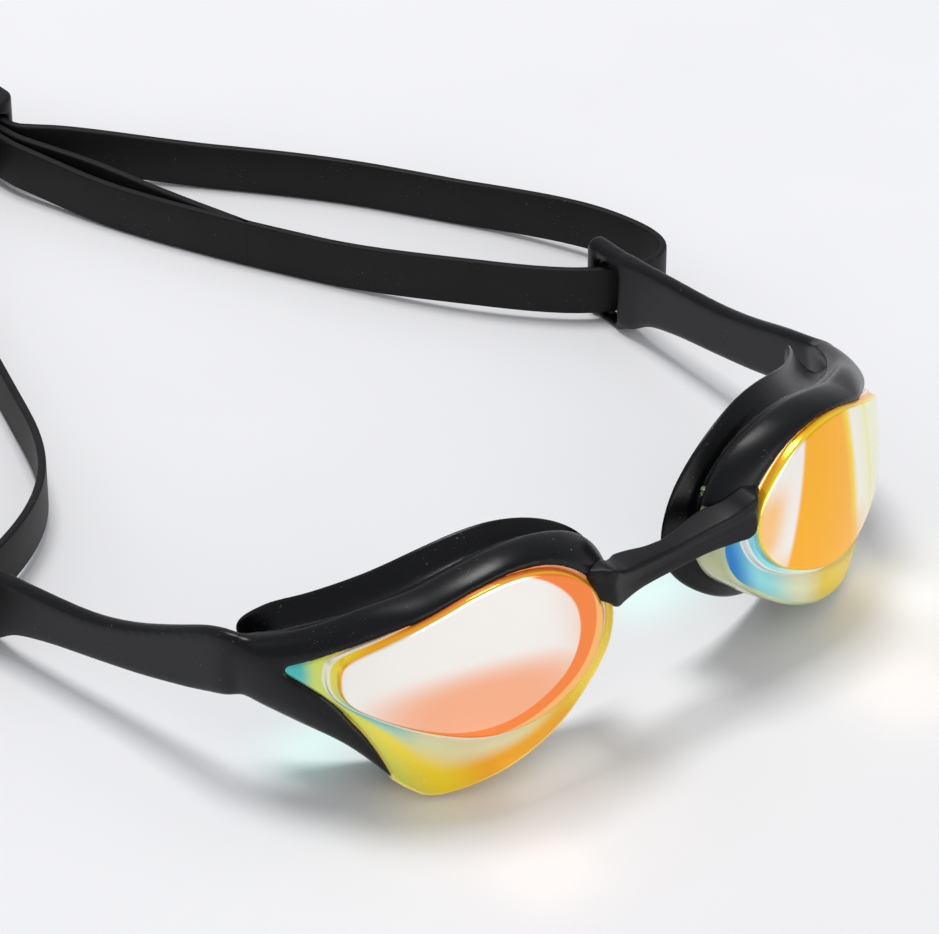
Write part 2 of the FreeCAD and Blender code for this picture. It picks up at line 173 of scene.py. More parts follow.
def bake(piece):
    """Applies a piece's modifiers to its mesh."""
    bpy.context.view_layer.update()
    graph = bpy.context.evaluated_depsgraph_get()
    baked = bpy.data.meshes.new_from_object(piece.evaluated_get(graph))
    piece.modifiers.clear()
    piece.vertex_groups.clear()
    piece.data = baked
    piece.data.shade_smooth()


def smoothed(piece, voxel, rounds, factor=0.5):
    """One closed skin round a piece's solids, with its edges rounded as moulding rounds them."""
    remesh = piece.modifiers.new("remesh", "REMESH")
    remesh.mode = "VOXEL"
    remesh.voxel_size = voxel * MM
    remesh.use_smooth_shade = True
    soft = piece.modifiers.new("soft", "SMOOTH")
    soft.factor = factor
    soft.iterations = rounds
    bake(piece)


def soften(piece, centre, reach, rounds):
    """Extra smoothing round one place, which fades out with distance."""
    group = piece.vertex_groups.new(name="near")
    for vertex in piece.data.vertices:
        weight = 1 - (vertex.co - Vector(centre)).length / reach
        if weight > 0:
            group.add([vertex.index], min(1.0, 2 * weight), "REPLACE")
    soft = piece.modifiers.new("soft", "SMOOTH")
    soft.factor = 0.6
    soft.iterations = rounds
    soft.vertex_group = "near"
    bake(piece)


def copied(name, node):
    """A new mesh that holds a copy of a CAD node, as the core of a detailed piece."""
    work = bmesh.new()
    work.from_mesh(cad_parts[node].data)
    bmesh.ops.remove_doubles(work, verts=work.verts, dist=1e-6)
    mesh = bpy.data.meshes.new(name)
    work.to_mesh(mesh)
    work.free()
    mesh.materials.clear()
    return linked(name, mesh)


def placed(piece, side):
    """Takes a piece modelled on the right side, in millimetres, to its place in the row."""
    for vertex in piece.data.vertices:
        vertex.co = Vector(row([vertex.co.x * SIDES[side], vertex.co.y, vertex.co.z]))
    if side == "left":
        piece.data.flip_normals()


def merged(piece, *others):
    """Adds other pieces' faces to a piece and removes them."""
    work = bmesh.new()
    work.from_mesh(piece.data)
    for other in others:
        work.from_mesh(other.data)
        bpy.data.objects.remove(other)
    work.to_mesh(piece.data)
    work.free()
    return piece


# ------------------------------------------------------------------ node materials

class Look:
    """A node material with short ways to wire it."""

    def __init__(self, name, **values):
        self.material = bpy.data.materials.new(name)
        self.material.use_nodes = True
        self.tree = self.material.node_tree
        self.shader = self.tree.nodes["Principled BSDF"]
        for key, value in values.items():
            self.shader.inputs[key.replace("_", " ")].default_value = value

    def node(self, kind, **settings):
        """A new shader node with its settings."""
        made = self.tree.nodes.new(kind)
        for key, value in settings.items():
            setattr(made, key, value)
        return made

    def join(self, out, into):
        """A link from an output to an input."""
        self.tree.links.new(out, into)

    def place(self):
        """The point's place in its piece's own frame."""
        return self.node("ShaderNodeTexCoord").outputs["Object"]

    def noise(self, scale, detail):
        """Cloudy noise from 0 to 1; a larger scale gives smaller clouds."""
        made = self.node("ShaderNodeTexNoise")
        made.inputs["Scale"].default_value = scale
        made.inputs["Detail"].default_value = detail
        made.inputs["Roughness"].default_value = 0.55
        self.join(self.place(), made.inputs["Vector"])
        return made.outputs["Fac"]

    def maths(self, how, a, b=None):
        """A sum on one or two values, each a number or a node's output."""
        made = self.node("ShaderNodeMath", operation=how)
        for into, value in zip(made.inputs, (a, b)):
            if value is None:
                continue
            if isinstance(value, (int, float)):
                into.default_value = value
            else:
                self.join(value, into)
        return made.outputs[0]

    def plus(self, a, b):
        """Both values added."""
        return self.maths("ADD", a, b)

    def times(self, a, b):
        """Both values multiplied."""
        return self.maths("MULTIPLY", a, b)

    def bulge(self, source, centre, half):
        """0 at the centre and 1 at half a width to each side, growing as the square."""
        return self.maths("POWER", self.times(self.maths("SUBTRACT", source, centre), 1 / half), 2.0)

    def ramp(self, source, stops, ease="EASE"):
        """Colours laid out along a source from 0 to 1, by stops of (place, colour)."""
        made = self.node("ShaderNodeValToRGB")
        made.color_ramp.interpolation = ease
        elements = made.color_ramp.elements
        while len(elements) < len(stops):
            elements.new(0.5)
        for element, (at, colour) in zip(elements, stops):
            element.position = at
            element.color = (*colour, 1)
        self.join(source, made.inputs["Fac"])
        return made.outputs["Color"]

    def span(self, source, low, high, to_low=0.0, to_high=1.0, ease="LINEAR"):
        """The source's range from low to high, laid out straight over another range."""
        made = self.node("ShaderNodeMapRange", interpolation_type=ease)
        for key, value in (("From Min", low), ("From Max", high), ("To Min", to_low), ("To Max", to_high)):
            made.inputs[key].default_value = value
        self.join(source, made.inputs["Value"])
        return made.outputs["Result"]

    def spread(self, *values):
        """As span, with an eased start and end."""
        return self.span(*values, ease="SMOOTHSTEP")

    def mix(self, factor, a, b):
        """Colour a where the factor is 0, and colour b where it is 1."""
        made = self.node("ShaderNodeMix", data_type="RGBA")
        for key, value in (("Factor", factor), ("A", a), ("B", b)):
            into = [i for i in made.inputs if i.name == key and i.type in ("RGBA", "VALUE")]
            into = [i for i in into if (i.type == "RGBA") == (key != "Factor")][0]
            if isinstance(value, tuple):
                into.default_value = (*value, 1)
            else:
                self.join(value, into)
        return [o for o in made.outputs if o.type == "RGBA"][0]

    def bump(self, height, strength, distance):
        """A relief on the surface, from a height of 0 to 1 and a distance in metres."""
        made = self.node("ShaderNodeBump")
        made.inputs["Strength"].default_value = strength
        made.inputs["Distance"].default_value = distance
        self.join(height, made.inputs["Height"])
        self.join(made.outputs["Normal"], self.shader.inputs["Normal"])


DUST = (0.10, 0.105, 0.115)


def rubber(name, dark, light, rough, speck=0.62):
    """Moulded black silicone: a fine skin, a slow change of sheen and a little pale dust."""
    look = Look(name, IOR=1.43, Specular_IOR_Level=0.3)
    cloud = look.noise(55, 4)
    base = look.ramp(cloud, [(0.3, dark), (0.7, light)])
    fine = look.noise(2600, 2)
    dust = look.spread(fine, speck + 0.06, speck + 0.12)
    patch = look.spread(look.noise(160, 2), 0.48, 0.62)
    dust = look.times(dust, patch)
    look.join(look.mix(dust, base, DUST), look.shader.inputs["Base Color"])
    sheen = look.spread(look.noise(30, 3), 0.3, 0.7, rough - 0.05, rough + 0.07)
    look.join(look.plus(sheen, look.times(fine, 0.05)), look.shader.inputs["Roughness"])
    look.bump(look.noise(4200, 3), 0.12, 0.00006)
    return look.material


BROW_RUBBER = rubber("black_silicone_satin", (0.0022, 0.0025, 0.003), (0.004, 0.0044, 0.0055), 0.27)
SEAL_RUBBER = rubber("black_silicone_seal", (0.0022, 0.0025, 0.003), (0.004, 0.0044, 0.005), 0.24)
STRAP_RUBBER = rubber("black_silicone_matte", (0.004, 0.0038, 0.0042), (0.007, 0.0065, 0.0072), 0.5)
CLIP_PLASTIC = rubber("black_plastic", (0.004, 0.004, 0.005), (0.007, 0.007, 0.0085), 0.38, 0.66)


def lens_coat(name, colours):
    """A mirror coating whose tint changes across the lens; `colours` wires it from the vertices' attributes.
    These are the place across and up the eyepiece, the ring (0 in the face's middle, 1 at its edge, 1.3 in
    the groove, 2.2 at the rim) and the glint: the share of the way to the edge, from a middle moved aside."""
    look = Look(name, Metallic=0.5, IOR=1.58, Coat_Weight=0.06, Coat_Roughness=0.03)
    eye = look.node("ShaderNodeAttribute", attribute_name="eye").outputs["Vector"]
    split = look.node("ShaderNodeSeparateXYZ")
    look.join(eye, split.inputs[0])
    glint = look.node("ShaderNodeAttribute", attribute_name="glint").outputs["Fac"]
    colour = colours(look, split.outputs["X"], split.outputs["Y"], split.outputs["Z"], glint)
    look.join(colour, look.shader.inputs["Base Color"])
    smear = look.spread(look.noise(90, 3), 0.35, 0.75, 0.06, 0.12)
    frosted = look.spread(split.outputs["Z"], 1.0, 1.1, 0.0, 0.16)
    look.join(look.plus(smear, frosted), look.shader.inputs["Roughness"])
    return look.material


WHITE, ORANGE, AMBER = (0.93, 0.89, 0.83), (0.97, 0.24, 0.04), (1.0, 0.46, 0.01)
YELLOW, LIME, TEAL = (0.98, 0.72, 0.02), (0.66, 0.76, 0.14), (0.06, 0.52, 0.50)
BLUE, PEACH, PALE = (0.01, 0.20, 0.55), (0.96, 0.42, 0.22), (0.88, 0.90, 0.60)
CYAN, STRAW = (0.28, 0.72, 0.76), (0.92, 0.84, 0.32)
HONEY, MOSS = (1.0, 0.56, 0.17), (0.30, 0.40, 0.20)


def painted_step_highlight(look, ring, skirt):
    """A painted highlight: a thin pale line put into the colour where the groove round the optical face steps
    down to the skirt.
    """
    line = look.times(look.spread(ring, 1.265, 1.295), look.spread(ring, 1.37, 1.32))
    return look.mix(look.times(line, 0.75), skirt, WHITE)


def left_colours(look, across, up, ring, glint):
    """Nearly white in the middle, with a warm glow low down and an orange crescent at the nose side;
    the skirt runs from teal at the temple through lime and yellow to orange."""
    wide = look.bulge(across, 23.0, 20.0)
    high = look.bulge(up, 0.4, 7.8)
    glow = look.times(look.spread(look.plus(wide, high), 1.0, 0.1), 0.95)
    haze = look.times(look.spread(across, 13.0, 5.0), 0.4)
    middle = look.mix(look.maths("MAXIMUM", glow, haze), WHITE, PEACH)
    middle = look.mix(look.spread(glint, 0.94, 0.965), middle, ORANGE)
    middle = look.mix(look.times(look.spread(glint, 1.115, 1.13), 0.8), middle, HONEY)
    middle = look.mix(look.spread(ring, 0.975, 0.99), middle, AMBER)
    slant = look.plus(across, look.times(up, -0.5))
    under = look.ramp(look.span(slant, 8.0, 46.0), [(0.0, YELLOW), (0.22, AMBER), (0.52, AMBER),
                                                    (0.72, YELLOW), (0.90, LIME), (1.0, TEAL)])
    pale = look.ramp(look.span(across, 8.0, 44.0), [(0.0, YELLOW), (0.35, PALE), (0.62, PALE),
                                                    (0.78, CYAN), (0.90, TEAL), (1.0, LIME)])
    bright = look.times(look.spread(ring, 1.95, 1.5), look.spread(across, 4.0, 16.0))
    under = look.mix(look.times(bright, 0.85), under, pale)
    over = look.ramp(look.span(across, 0.0, 48.0), [(0.0, YELLOW), (0.05, AMBER), (0.16, ORANGE),
                                                    (0.55, ORANGE), (0.76, AMBER), (0.85, YELLOW),
                                                    (0.91, LIME), (0.955, TEAL)])
    # the skirt, with a painted highlight along the groove's step
    skirt = painted_step_highlight(look, ring, look.mix(look.spread(up, 1.0, 7.0), under, over))
    return look.mix(look.spread(ring, 1.0, 1.12), middle, skirt)


def right_colours(look, across, up, ring, _glint):
    """A white beam, a broad amber band and a pale one beyond it, over a skirt of blue, cyan and yellow."""
    slant = look.plus(across, look.times(up, -0.3))
    height = look.maths("ABSOLUTE", look.maths("SUBTRACT", up, 6.5))
    haze = look.times(look.spread(height, 7.5, 2.0), look.spread(slant, 7.0, 3.0))
    near = look.mix(look.times(haze, 0.9), WHITE, HONEY)
    near = look.mix(look.spread(slant, 7.4, 8.3), near, AMBER)
    far = look.ramp(look.span(across, 20.0, 36.0), [(0.0, AMBER), (0.12, AMBER), (0.22, YELLOW),
                                                    (0.30, WHITE), (0.55, PALE), (0.60, STRAW),
                                                    (0.68, PALE), (1.0, PALE)], "LINEAR")
    middle = look.mix(look.spread(across, 20.5, 21.5), near, far)
    low = look.times(look.spread(up, 3.0, -3.0), look.spread(across, 30.0, 22.0))
    middle = look.mix(look.times(low, 0.8), middle, AMBER)
    middle = look.mix(look.spread(ring, 0.975, 0.99), middle, YELLOW)
    lean = look.plus(across, look.times(up, 0.2))
    skirt = look.ramp(look.span(lean, -2.0, 40.0), [(0.0, MOSS), (0.05, PALE), (0.08, BLUE), (0.17, CYAN),
                                                    (0.34, PALE), (0.48, YELLOW), (0.72, YELLOW),
                                                    (1.0, PALE)])
    # the skirt, with a painted highlight along the groove's step
    skirt = painted_step_highlight(look, ring, look.mix(look.spread(up, 7.0, 11.0), skirt, AMBER))
    return look.mix(look.spread(ring, 1.0, 1.12), middle, skirt)


COATS = {"left": lens_coat("mirror_coat_left", left_colours),
         "right": lens_coat("mirror_coat_right", right_colours)}


def tinted(name, near, far, rough, clear):
    """Tinted clear plastic, seen at the lens's edge and through its back."""
    look = Look(name, Roughness=rough, IOR=1.58, Transmission_Weight=clear)
    look.join(look.ramp(look.noise(120, 2), [(0.35, near), (0.65, far)]), look.shader.inputs["Base Color"])
    return look.material


EDGES = {"left": tinted("lens_edge_amber", (0.98, 0.66, 0.10), (1.0, 0.80, 0.22), 0.2, 0.1),
         "right": tinted("lens_edge_clear", (0.66, 0.76, 0.42), (0.86, 0.90, 0.55), 0.12, 0.4)}
CLEAR = tinted("clip_clear_green", (0.30, 0.52, 0.30), (0.55, 0.72, 0.40), 0.08, 0.7)
BACK = tinted("lens_back_smoke", (0.05, 0.22, 0.26), (0.07, 0.26, 0.28), 0.10, 0.35)


def finish_piece(piece, materials, body, slot, *nodes):
    """Gives a piece its materials, and lets it ride on a body in the place of CAD nodes; the slot is not
    used.
    """
    piece.data.materials.clear()
    for material in materials:
        piece.data.materials.append(material)
    if nodes:
        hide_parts(*nodes)
    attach(piece, body)


# ------------------------------------------------------------------ lenses

RIM = [(48.7, 7.2), (42.4, 10.4), (36.1, 13.0), (28.0, 16.3), (22.0, 18.3), (16.5, 19.0), (11.0, 18.0),
       (6.6, 15.4), (3.0, 11.6), (0.6, 7.4), (0.0, 3.0), (1.6, -1.4), (5.4, -5.2), (11.0, -9.6),
       (18.0, -13.0), (25.0, -14.9), (30.4, -15.3), (33.4, -13.6), (35.6, -11.5)]
RIM_FORK = [(35.6, -11.5), (37.4, -6.7), (39.8, -2.0), (43.6, 2.9), (48.7, 7.2)]
OPTIC = [(41.8, 6.4), (40.6, 9.8), (35.3, 12.6), (29.0, 15.2), (22.8, 17.4), (17.0, 18.1), (11.5, 17.0),
         (7.0, 14.0), (3.9, 9.6), (3.6, 4.6), (6.2, 0.0), (11.5, -3.2), (17.5, -4.9), (24.0, -4.7),
         (31.0, -2.4), (37.6, 0.9), (41.0, 3.4)]
EYE_CENTRE = np.array([21.0, 4.0])
TIP_ANGLE = math.atan2(RIM[0][1] - EYE_CENTRE[1], RIM[0][0] - EYE_CENTRE[0])
CRESCENT_SHIFT = np.array([3.4, 1.4])
LENS_AROUND = 256
GROOVE_RING, RIM_RING, WALL_RING, BACK_RING = 1.3, 2.2, 3.0, 4.0     # where a ring lies on the lens


def barrel(across, up, bend=40.0, centre=21.1, arch=94.0):
    """How far back a surface of the eyepiece bends from its foremost point."""
    sag = arch - np.sqrt(arch ** 2 - (up - 1.5) ** 2)
    return bend - np.sqrt((bend - sag) ** 2 - (across - centre) ** 2)


def lens_rings():
    """Rings of (across, depth, up) from the middle of the face, over the rim and back inside, with tints."""
    angles = TIP_ANGLE + np.linspace(0, 2 * math.pi, LENS_AROUND, endpoint=False)
    ray = np.stack([np.cos(angles), np.sin(angles)], axis=1)
    rim_line = np.vstack([catmull(RIM), catmull(RIM_FORK)])
    optic = radii(catmull(OPTIC, closed=True), EYE_CENTRE, angles)
    rim = np.maximum(radii(rim_line, EYE_CENTRE, angles), optic + 0.9)
    gap = rim - optic
    steps = []
    for share in (0.02, 0.15, 0.3, 0.45, 0.6, 0.72, 0.82, 0.9, 0.95):
        steps.append((optic * share, 0.0, share))
    for inward, depth, tint in ((0.50, 0.0, 0.97), (0.22, 0.05, 0.98), (0.06, 0.18, 1.0), (0.0, 0.4, 1.05)):
        steps.append((optic - inward, depth, tint))
    for outward, share, depth, tint in (
            (0.04, 0.05, 1.05, 1.2), (0.12, 0.10, 1.30, 1.2), (0.95, 0.30, 1.30, 1.3),
            (1.10, 0.36, 1.42, 1.3), (1.16, 0.40, 1.95, 1.3), (1.30, 0.44, 2.12, 1.3)):
        steps.append((optic + np.minimum(outward, share * gap), depth, tint))
    for share, depth in ((0.6, 2.22), (0.8, 2.45)):
        steps.append((optic + gap * share, depth, GROOVE_RING + share))
    for inward, depth in ((0.55, 2.62), (0.25, 2.70), (0.07, 2.85), (0.0, 3.1)):
        steps.append((rim - np.minimum(inward, 0.18 * gap), depth, RIM_RING))
    for inward, depth in ((0.0, 5.2), (0.0, 7.15), (0.12, 7.36), (0.35, 7.4), (1.05, 7.4),
                          (1.3, 7.3), (1.4, 7.0)):
        steps.append((rim - inward, depth, WALL_RING))
    steps.append((rim - 1.5, 4.6, BACK_RING))
    steps.append((np.minimum(rim - 2.1, optic + 3.0), 4.1, BACK_RING))
    for share, depth in ((0.98, 2.6), (0.94, 1.75), (0.8, 1.5), (0.6, 1.5), (0.4, 1.5), (0.2, 1.5),
                         (0.02, 1.5)):
        steps.append((optic * share, depth, BACK_RING))
    rings, tints = [], []
    for reach, depth, tint in steps:
        flat = EYE_CENTRE + ray * np.broadcast_to(reach, angles.shape)[:, None]
        across, up = flat[:, 0], flat[:, 1]
        rings.append(np.stack([across, barrel(across, up) + depth, up], axis=1))
        tints.append(np.stack([across, up, np.full_like(across, tint)], axis=1))
    return np.array(rings), np.array(tints)


def build_lens(side):
    """The mirror lens: a coated front and skirt, a tinted wall, and a smoky back seen through the seal."""
    rings, tints = lens_rings()
    piece = skin(f"lens_shell_{side}", row(from_eye(rings, SIDES[side])), smooth_angle=50)
    paint(piece, "eye", tints)
    moved = tints.reshape(-1, 3)[:, :2] - EYE_CENTRE - CRESCENT_SHIFT
    reach = radii(catmull(OPTIC, closed=True), EYE_CENTRE, np.arctan2(moved[:, 1], moved[:, 0]))
    layer = piece.data.attributes.new("glint", "FLOAT", "POINT")
    layer.data.foreach_set("value", (np.hypot(moved[:, 0], moved[:, 1]) / reach).astype(np.float32))
    finish_piece(piece, (COATS[side], EDGES[side], BACK), f"eyepiece_{side}", "mirror_lens", f"lens_{side}")
    level = tints[:, 0, 2]
    for polygon in piece.data.polygons:
        ring = level[min(vertex // LENS_AROUND for vertex in polygon.vertices)]
        polygon.material_index = 0 if ring < RIM_RING else 1 if ring < BACK_RING else 2


POST, STEM = (7.2, 9.4), (11.2, 13.5)


def ladder(place, low, high, girth, teeth):
    """A clear upright stem with ring-shaped teeth, turned round its own axis."""
    turn = np.linspace(0, 2 * math.pi, 36, endpoint=False)
    pitch = (high - low - 0.6) / teeth
    stations = [(low, 0.55), (low + 0.08, 0.85), (low + 0.25, 1.0)]
    for tooth in range(teeth):
        base = low + 0.3 + tooth * pitch
        stations += [(base + share * pitch, size) for share, size in
                     ((0.05, 1.0), (0.35, 1.0), (0.45, 0.72), (0.85, 0.72), (0.95, 1.0))]
    stations += [(high - 0.25, 1.0), (high - 0.08, 0.85), (high, 0.55)]
    rings = [np.stack([place[0] + girth * share * np.cos(turn), place[1] + girth * share * np.sin(turn),
                       np.full_like(turn, level)], axis=1) for level, share in stations]
    return skin("stem", rings, smooth_angle=35)


def rung(start, end, half, low, high):
    """A small flat bar between two places, with its edges eased."""
    start, end = np.array(start), np.array(end)
    along = (end - start) / np.linalg.norm(end - start)
    aside = np.array([-along[1], along[0]]) * half
    outline = np.array([start + aside, (start + end) / 2 + aside * 1.1, end + aside,
                        end - aside, (start + end) / 2 - aside * 1.1, start - aside])
    middle = outline.mean(axis=0)
    rings = []
    for level, share in ((low, 0.88), (low + 0.12, 1.0), (high - 0.12, 1.0), (high, 0.88)):
        rings.append(np.column_stack([middle + (outline - middle) * share, np.full(len(outline), level)]))
    return skin("rung", rings)


def build_post(side):
    """The clear post in the bridge's end, its rungs, and two toothed stems behind on the lens's nose side."""
    piece = ladder(POST, 23.6, 26.8, 1.2, 3)
    parts = [rung((7.9, 9.55), (12.6, 10.55), 0.6, level, level + 1.0) for level in (23.7, 24.7, 25.7)]
    parts.append(ladder(STEM, 24.4, 29.0, 0.62, 4))
    parts.append(ladder((12.5, 12.8), 24.4, 29.0, 0.5, 4))
    parts += [rung(STEM, (13.8, 12.0), 0.35, level, level + 0.55) for level in (25.0, 26.4, 27.8)]
    piece = merged(piece, *parts)
    piece.name = f"clip_post_{side}"
    placed(piece, side)
    piece.data.shade_smooth()
    piece.data.set_sharp_from_angle(angle=math.radians(35))
    finish_piece(piece, (CLEAR,), f"eyepiece_{side}", "mirror_lens")


# ------------------------------------------------------------------ gaskets

SEAL = [(49.4, 7.0), (46.0, 11.1), (40.0, 13.4), (33.0, 15.8), (26.0, 18.2), (20.0, 19.6), (14.5, 19.7),
        (9.0, 18.2), (4.0, 15.2), (0.2, 11.0), (-1.8, 5.6), (-1.4, 0.4), (2.0, -4.6), (8.0, -9.3),
        (15.0, -12.4), (22.5, -13.8), (30.0, -13.4), (36.6, -10.8), (42.0, -5.8), (46.6, 0.2)]
SEAL_SECTION = [(1.9, 7.45), (1.9, 8.0), (2.3, 8.6), (2.75, 9.3), (2.85, 10.2), (2.5, 11.2), (1.7, 12.1),
                (0.8, 12.8), (0.15, 13.25), (-0.05, 13.5), (0.05, 13.75), (0.4, 13.88), (1.2, 13.8),
                (2.4, 13.45), (3.6, 13.0), (4.5, 12.4), (5.0, 11.6), (5.15, 10.6), (5.1, 9.2),
                (5.0, 7.6), (4.8, 7.45), (3.4, 7.45)]
FACE_SIDE = {"bend": 50.0, "centre": 17.0, "arch": 220.0}      # the gentler bend of the lip towards the face
NECK_DEPTH, NECK_TO_LIP = 7.4, 4.6


TABLE_GAP = 0.05


def build_seal(side):
    """A soft gasket: a neck behind the lens, a waist, and a thin flared lip towards the face."""
    outline = spaced(catmull(SEAL, closed=True), 260, closed=True)
    ahead = np.roll(outline, -1, axis=0) - np.roll(outline, 1, axis=0)
    normal = np.stack([ahead[:, 1], -ahead[:, 0]], axis=1)
    normal /= np.linalg.norm(normal, axis=1)[:, None]
    section = spaced(catmull(SEAL_SECTION, closed=True), 64, closed=True)
    rings = []
    for inset, depth in section:
        flat = outline - normal * inset
        across, up = flat[:, 0], flat[:, 1]
        share = min(max((depth - NECK_DEPTH) / NECK_TO_LIP, 0), 1)
        front = barrel(across, up)
        rear = barrel(across, up, **FACE_SIDE)
        rings.append(np.stack([across, depth + front * (1 - share) + rear * share, up], axis=1))
    world = from_eye(np.array(rings), SIDES[side])
    world[..., 2] = np.maximum(world[..., 2], TABLE_GAP)
    piece = skin(f"seal_{side}", row(world), joined=True, smooth_angle=60)
    finish_piece(piece, (SEAL_RUBBER,), f"eyepiece_{side}", "seal", f"gasket_{side}")


# ------------------------------------------------------------------ brow frames with their side arms

BROW_TOP = [(-0.8, 10.8), (0.2, 13.6), (1.9, 16.1), (4.2, 18.1), (7.2, 19.6), (11.8, 20.8), (17.5, 20.9),
            (23.5, 19.8), (30.0, 17.8), (37.0, 15.3), (44.0, 12.4), (52.8, 9.3)]
BROW_LEG = [(54.0, 5.6), (53.2, 1.6), (48.4, -1.8), (42.3, -5.9), (36.6, -11.9)]
BROW_SECTION = [(0.0, 3.2), (0.0, 2.3), (0.10, 1.85), (0.28, 1.72), (0.52, 2.0), (0.76, 2.7), (0.93, 3.6),
                (1.0, 4.6), (0.98, 5.3), (0.90, 5.9), (0.74, 6.3), (0.62, 6.7), (0.56, 7.3), (0.54, 8.0),
                (0.42, 8.1), (0.26, 7.0)]
# degrees about the eye's centre, from where to where the brow's section changes
FILLED, NARROWED, RECEDED = (38.0, 10.0), (30.0, 60.0), (25.0, 50.0)
LEG, SHALLOW = (2.0, -16.0), (-14.0, -44.0)
HINGE = np.array([56.8, 34.5])
ARM_YAW = {"right": 3.9, "left": 9.3}
ARM_BOTTOM = [(-7.0, 14.2), (0.0, 13.6), (8.0, 11.6), (17.0, 9.4), (26.0, 7.7), (35.0, 6.1), (42.0, 4.2),
              (46.4, 1.5), (49.8, 0.2)]
ARM_TOP = {"right": [(-7.0, 24.6), (0.0, 23.2), (5.0, 21.8), (12.0, 19.9), (20.0, 17.7), (28.0, 16.2),
                     (39.0, 15.0), (49.8, 13.8)],
           "left": [(-7.0, 26.4), (0.0, 25.0), (5.0, 23.6), (12.0, 20.2), (20.0, 16.9), (28.0, 14.9),
                    (39.0, 14.0), (49.8, 13.6)]}


ARM_RUN = (-7.0, 49.8)      # from inside the brow to the slot, seen from the hinge


def eased(value, low, high):
    """0 before low, 1 after high, and a smooth step between; low may lie above high."""
    share = np.clip((value - low) / (high - low), 0, 1)
    return share * share * (3 - 2 * share)


def brow_loft(name):
    """A crowned moulding round the lens's top and temple, which ends in a leg under the lens."""
    outer_line = np.vstack([catmull(BROW_TOP), catmull(BROW_LEG)])
    rim_line = np.vstack([catmull(RIM), catmull(RIM_FORK)])
    start = math.degrees(math.atan2(BROW_TOP[0][1] - EYE_CENTRE[1], BROW_TOP[0][0] - EYE_CENTRE[0]))
    angles = np.linspace(start, -45.0, 200)
    turns = np.radians(angles)
    outer = radii(outer_line, EYE_CENTRE, turns)
    inner = np.minimum(radii(rim_line, EYE_CENTRE, turns) - 1.0, outer - 0.9)
    section = spaced(catmull(BROW_SECTION, closed=True), 40, closed=True)
    rings = []
    for angle, near, far in zip(angles, inner, outer):
        full, leg = eased(angle, *FILLED), eased(angle, *LEG)
        far = near + (far - near) * (1 - 0.22 * eased(angle, *NARROWED) * (1 - full)) - 1.3 * leg
        near = near + 0.75 * leg
        ray = np.array([math.cos(math.radians(angle)), math.sin(math.radians(angle))])
        share, depth = section[:, 0], section[:, 1]
        behind = np.clip((depth - 4.6) / 4.2, 0, 1)
        share = share + (np.minimum(1.0, share * 1.6 + 0.1) - share) * full * behind
        depth = depth - behind * 3.2 * eased(angle, *SHALLOW)
        depth = depth - 0.8 * eased(angle, *RECEDED) * np.clip((4.0 - depth) / 2, 0, 1)
        flat = EYE_CENTRE + ray * (near + share * (far - near))[:, None]
        across, up = flat[:, 0], flat[:, 1]
        rings.append(np.stack([across, barrel(across, up) + depth, up], axis=1))
    return skin(name, from_eye(np.array(rings), 1))


def slab(name, stations, yaw):
    """A run of rounded upright sections along an arm: (along, low, high, half its thickness, set in)."""
    rings = []
    for along, low, high, half, *inset in stations:
        tall = (high - low) / 2
        outline = np.vstack(rounded_corners(half, tall, min(half, tall) * 0.85, 6))
        rings.append(np.column_stack([outline[:, 0] + sum(inset), np.full(len(outline), along),
                                      outline[:, 1] + (low + high) / 2]))
    turned = np.array(rings) @ spin("z", -yaw).T
    turned[..., :2] += HINGE
    return skin(name, turned)


def arm_solids(side):
    """An arm's strip, and the three bars round the slot that the strap is folded through."""
    yaw = ARM_YAW[side]
    top, bottom = catmull(ARM_TOP[side]), catmull(ARM_BOTTOM)
    strip = []
    for along in np.linspace(*ARM_RUN, 64):
        front = eased(along, 2.0, -7.0)
        half = 1.25 + 0.35 * eased(along, 44.0, 49.0) - 0.4 * front
        strip.append((along, np.interp(along, bottom[:, 0], bottom[:, 1]) + 2.0 * front,
                      np.interp(along, top[:, 0], top[:, 1]) - 3.0 * front, half, -2.6 * front))
    slot_run = np.linspace(49.0, 57.0, 9)
    over = [(along, 10.5, 13.7 - 0.03 * (along - slot_run[0]), 1.55) for along in slot_run]
    under = [(along, 0.1, 1.15, 1.3) for along in slot_run]
    post = [(along, 0.1, 13.4 - drop, half) for along, drop, half in
            ((54.9, 0.0, 1.5), (55.8, 0.0, 1.65), (56.8, 0.2, 1.6), (57.6, 0.6, 1.3))]
    return [slab(f"part_{index}", stations, yaw) for index, stations in enumerate((strip, over, under, post))]


def build_frame(side):
    """Brow and arm are one moulding, so one skin runs over both and bends at the temple."""
    piece = merged(brow_loft(f"brow_and_arm_{side}"), *arm_solids(side))
    placed(piece, side)
    smoothed(piece, 0.34, 8, 0.6)
    soften(piece, row([SIDES[side] * (HINGE[0] - 0.5), HINGE[1] - 1.5, 18.5]), 0.012, 40)
    piece.data.materials.append(BROW_RUBBER)
    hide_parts(f"brow_frame_{side}", f"side_arm_{side}")
    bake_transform(piece)


# ------------------------------------------------------------------ nose bridge

BRIDGE = [
    # across, front, rear, low, high
    (0.0, 7.3, 10.6, 23.0, 27.1), (3.0, 7.2, 10.8, 23.1, 27.3), (6.0, 6.9, 11.3, 23.3, 27.7),
    (8.2, 6.5, 11.3, 23.4, 28.1), (9.6, 6.1, 10.6, 23.5, 28.5), (11.0, 5.6, 9.8, 23.7, 29.2),
    (12.2, 5.1, 9.2, 23.9, 30.1), (13.1, 4.9, 9.0, 24.4, 30.6), (13.7, 5.2, 8.9, 25.0, 30.7),
    (14.6, 6.2, 8.9, 25.4, 30.6), (15.6, 7.1, 9.0, 26.0, 30.4), (16.2, 7.7, 8.9, 26.8, 29.8)]


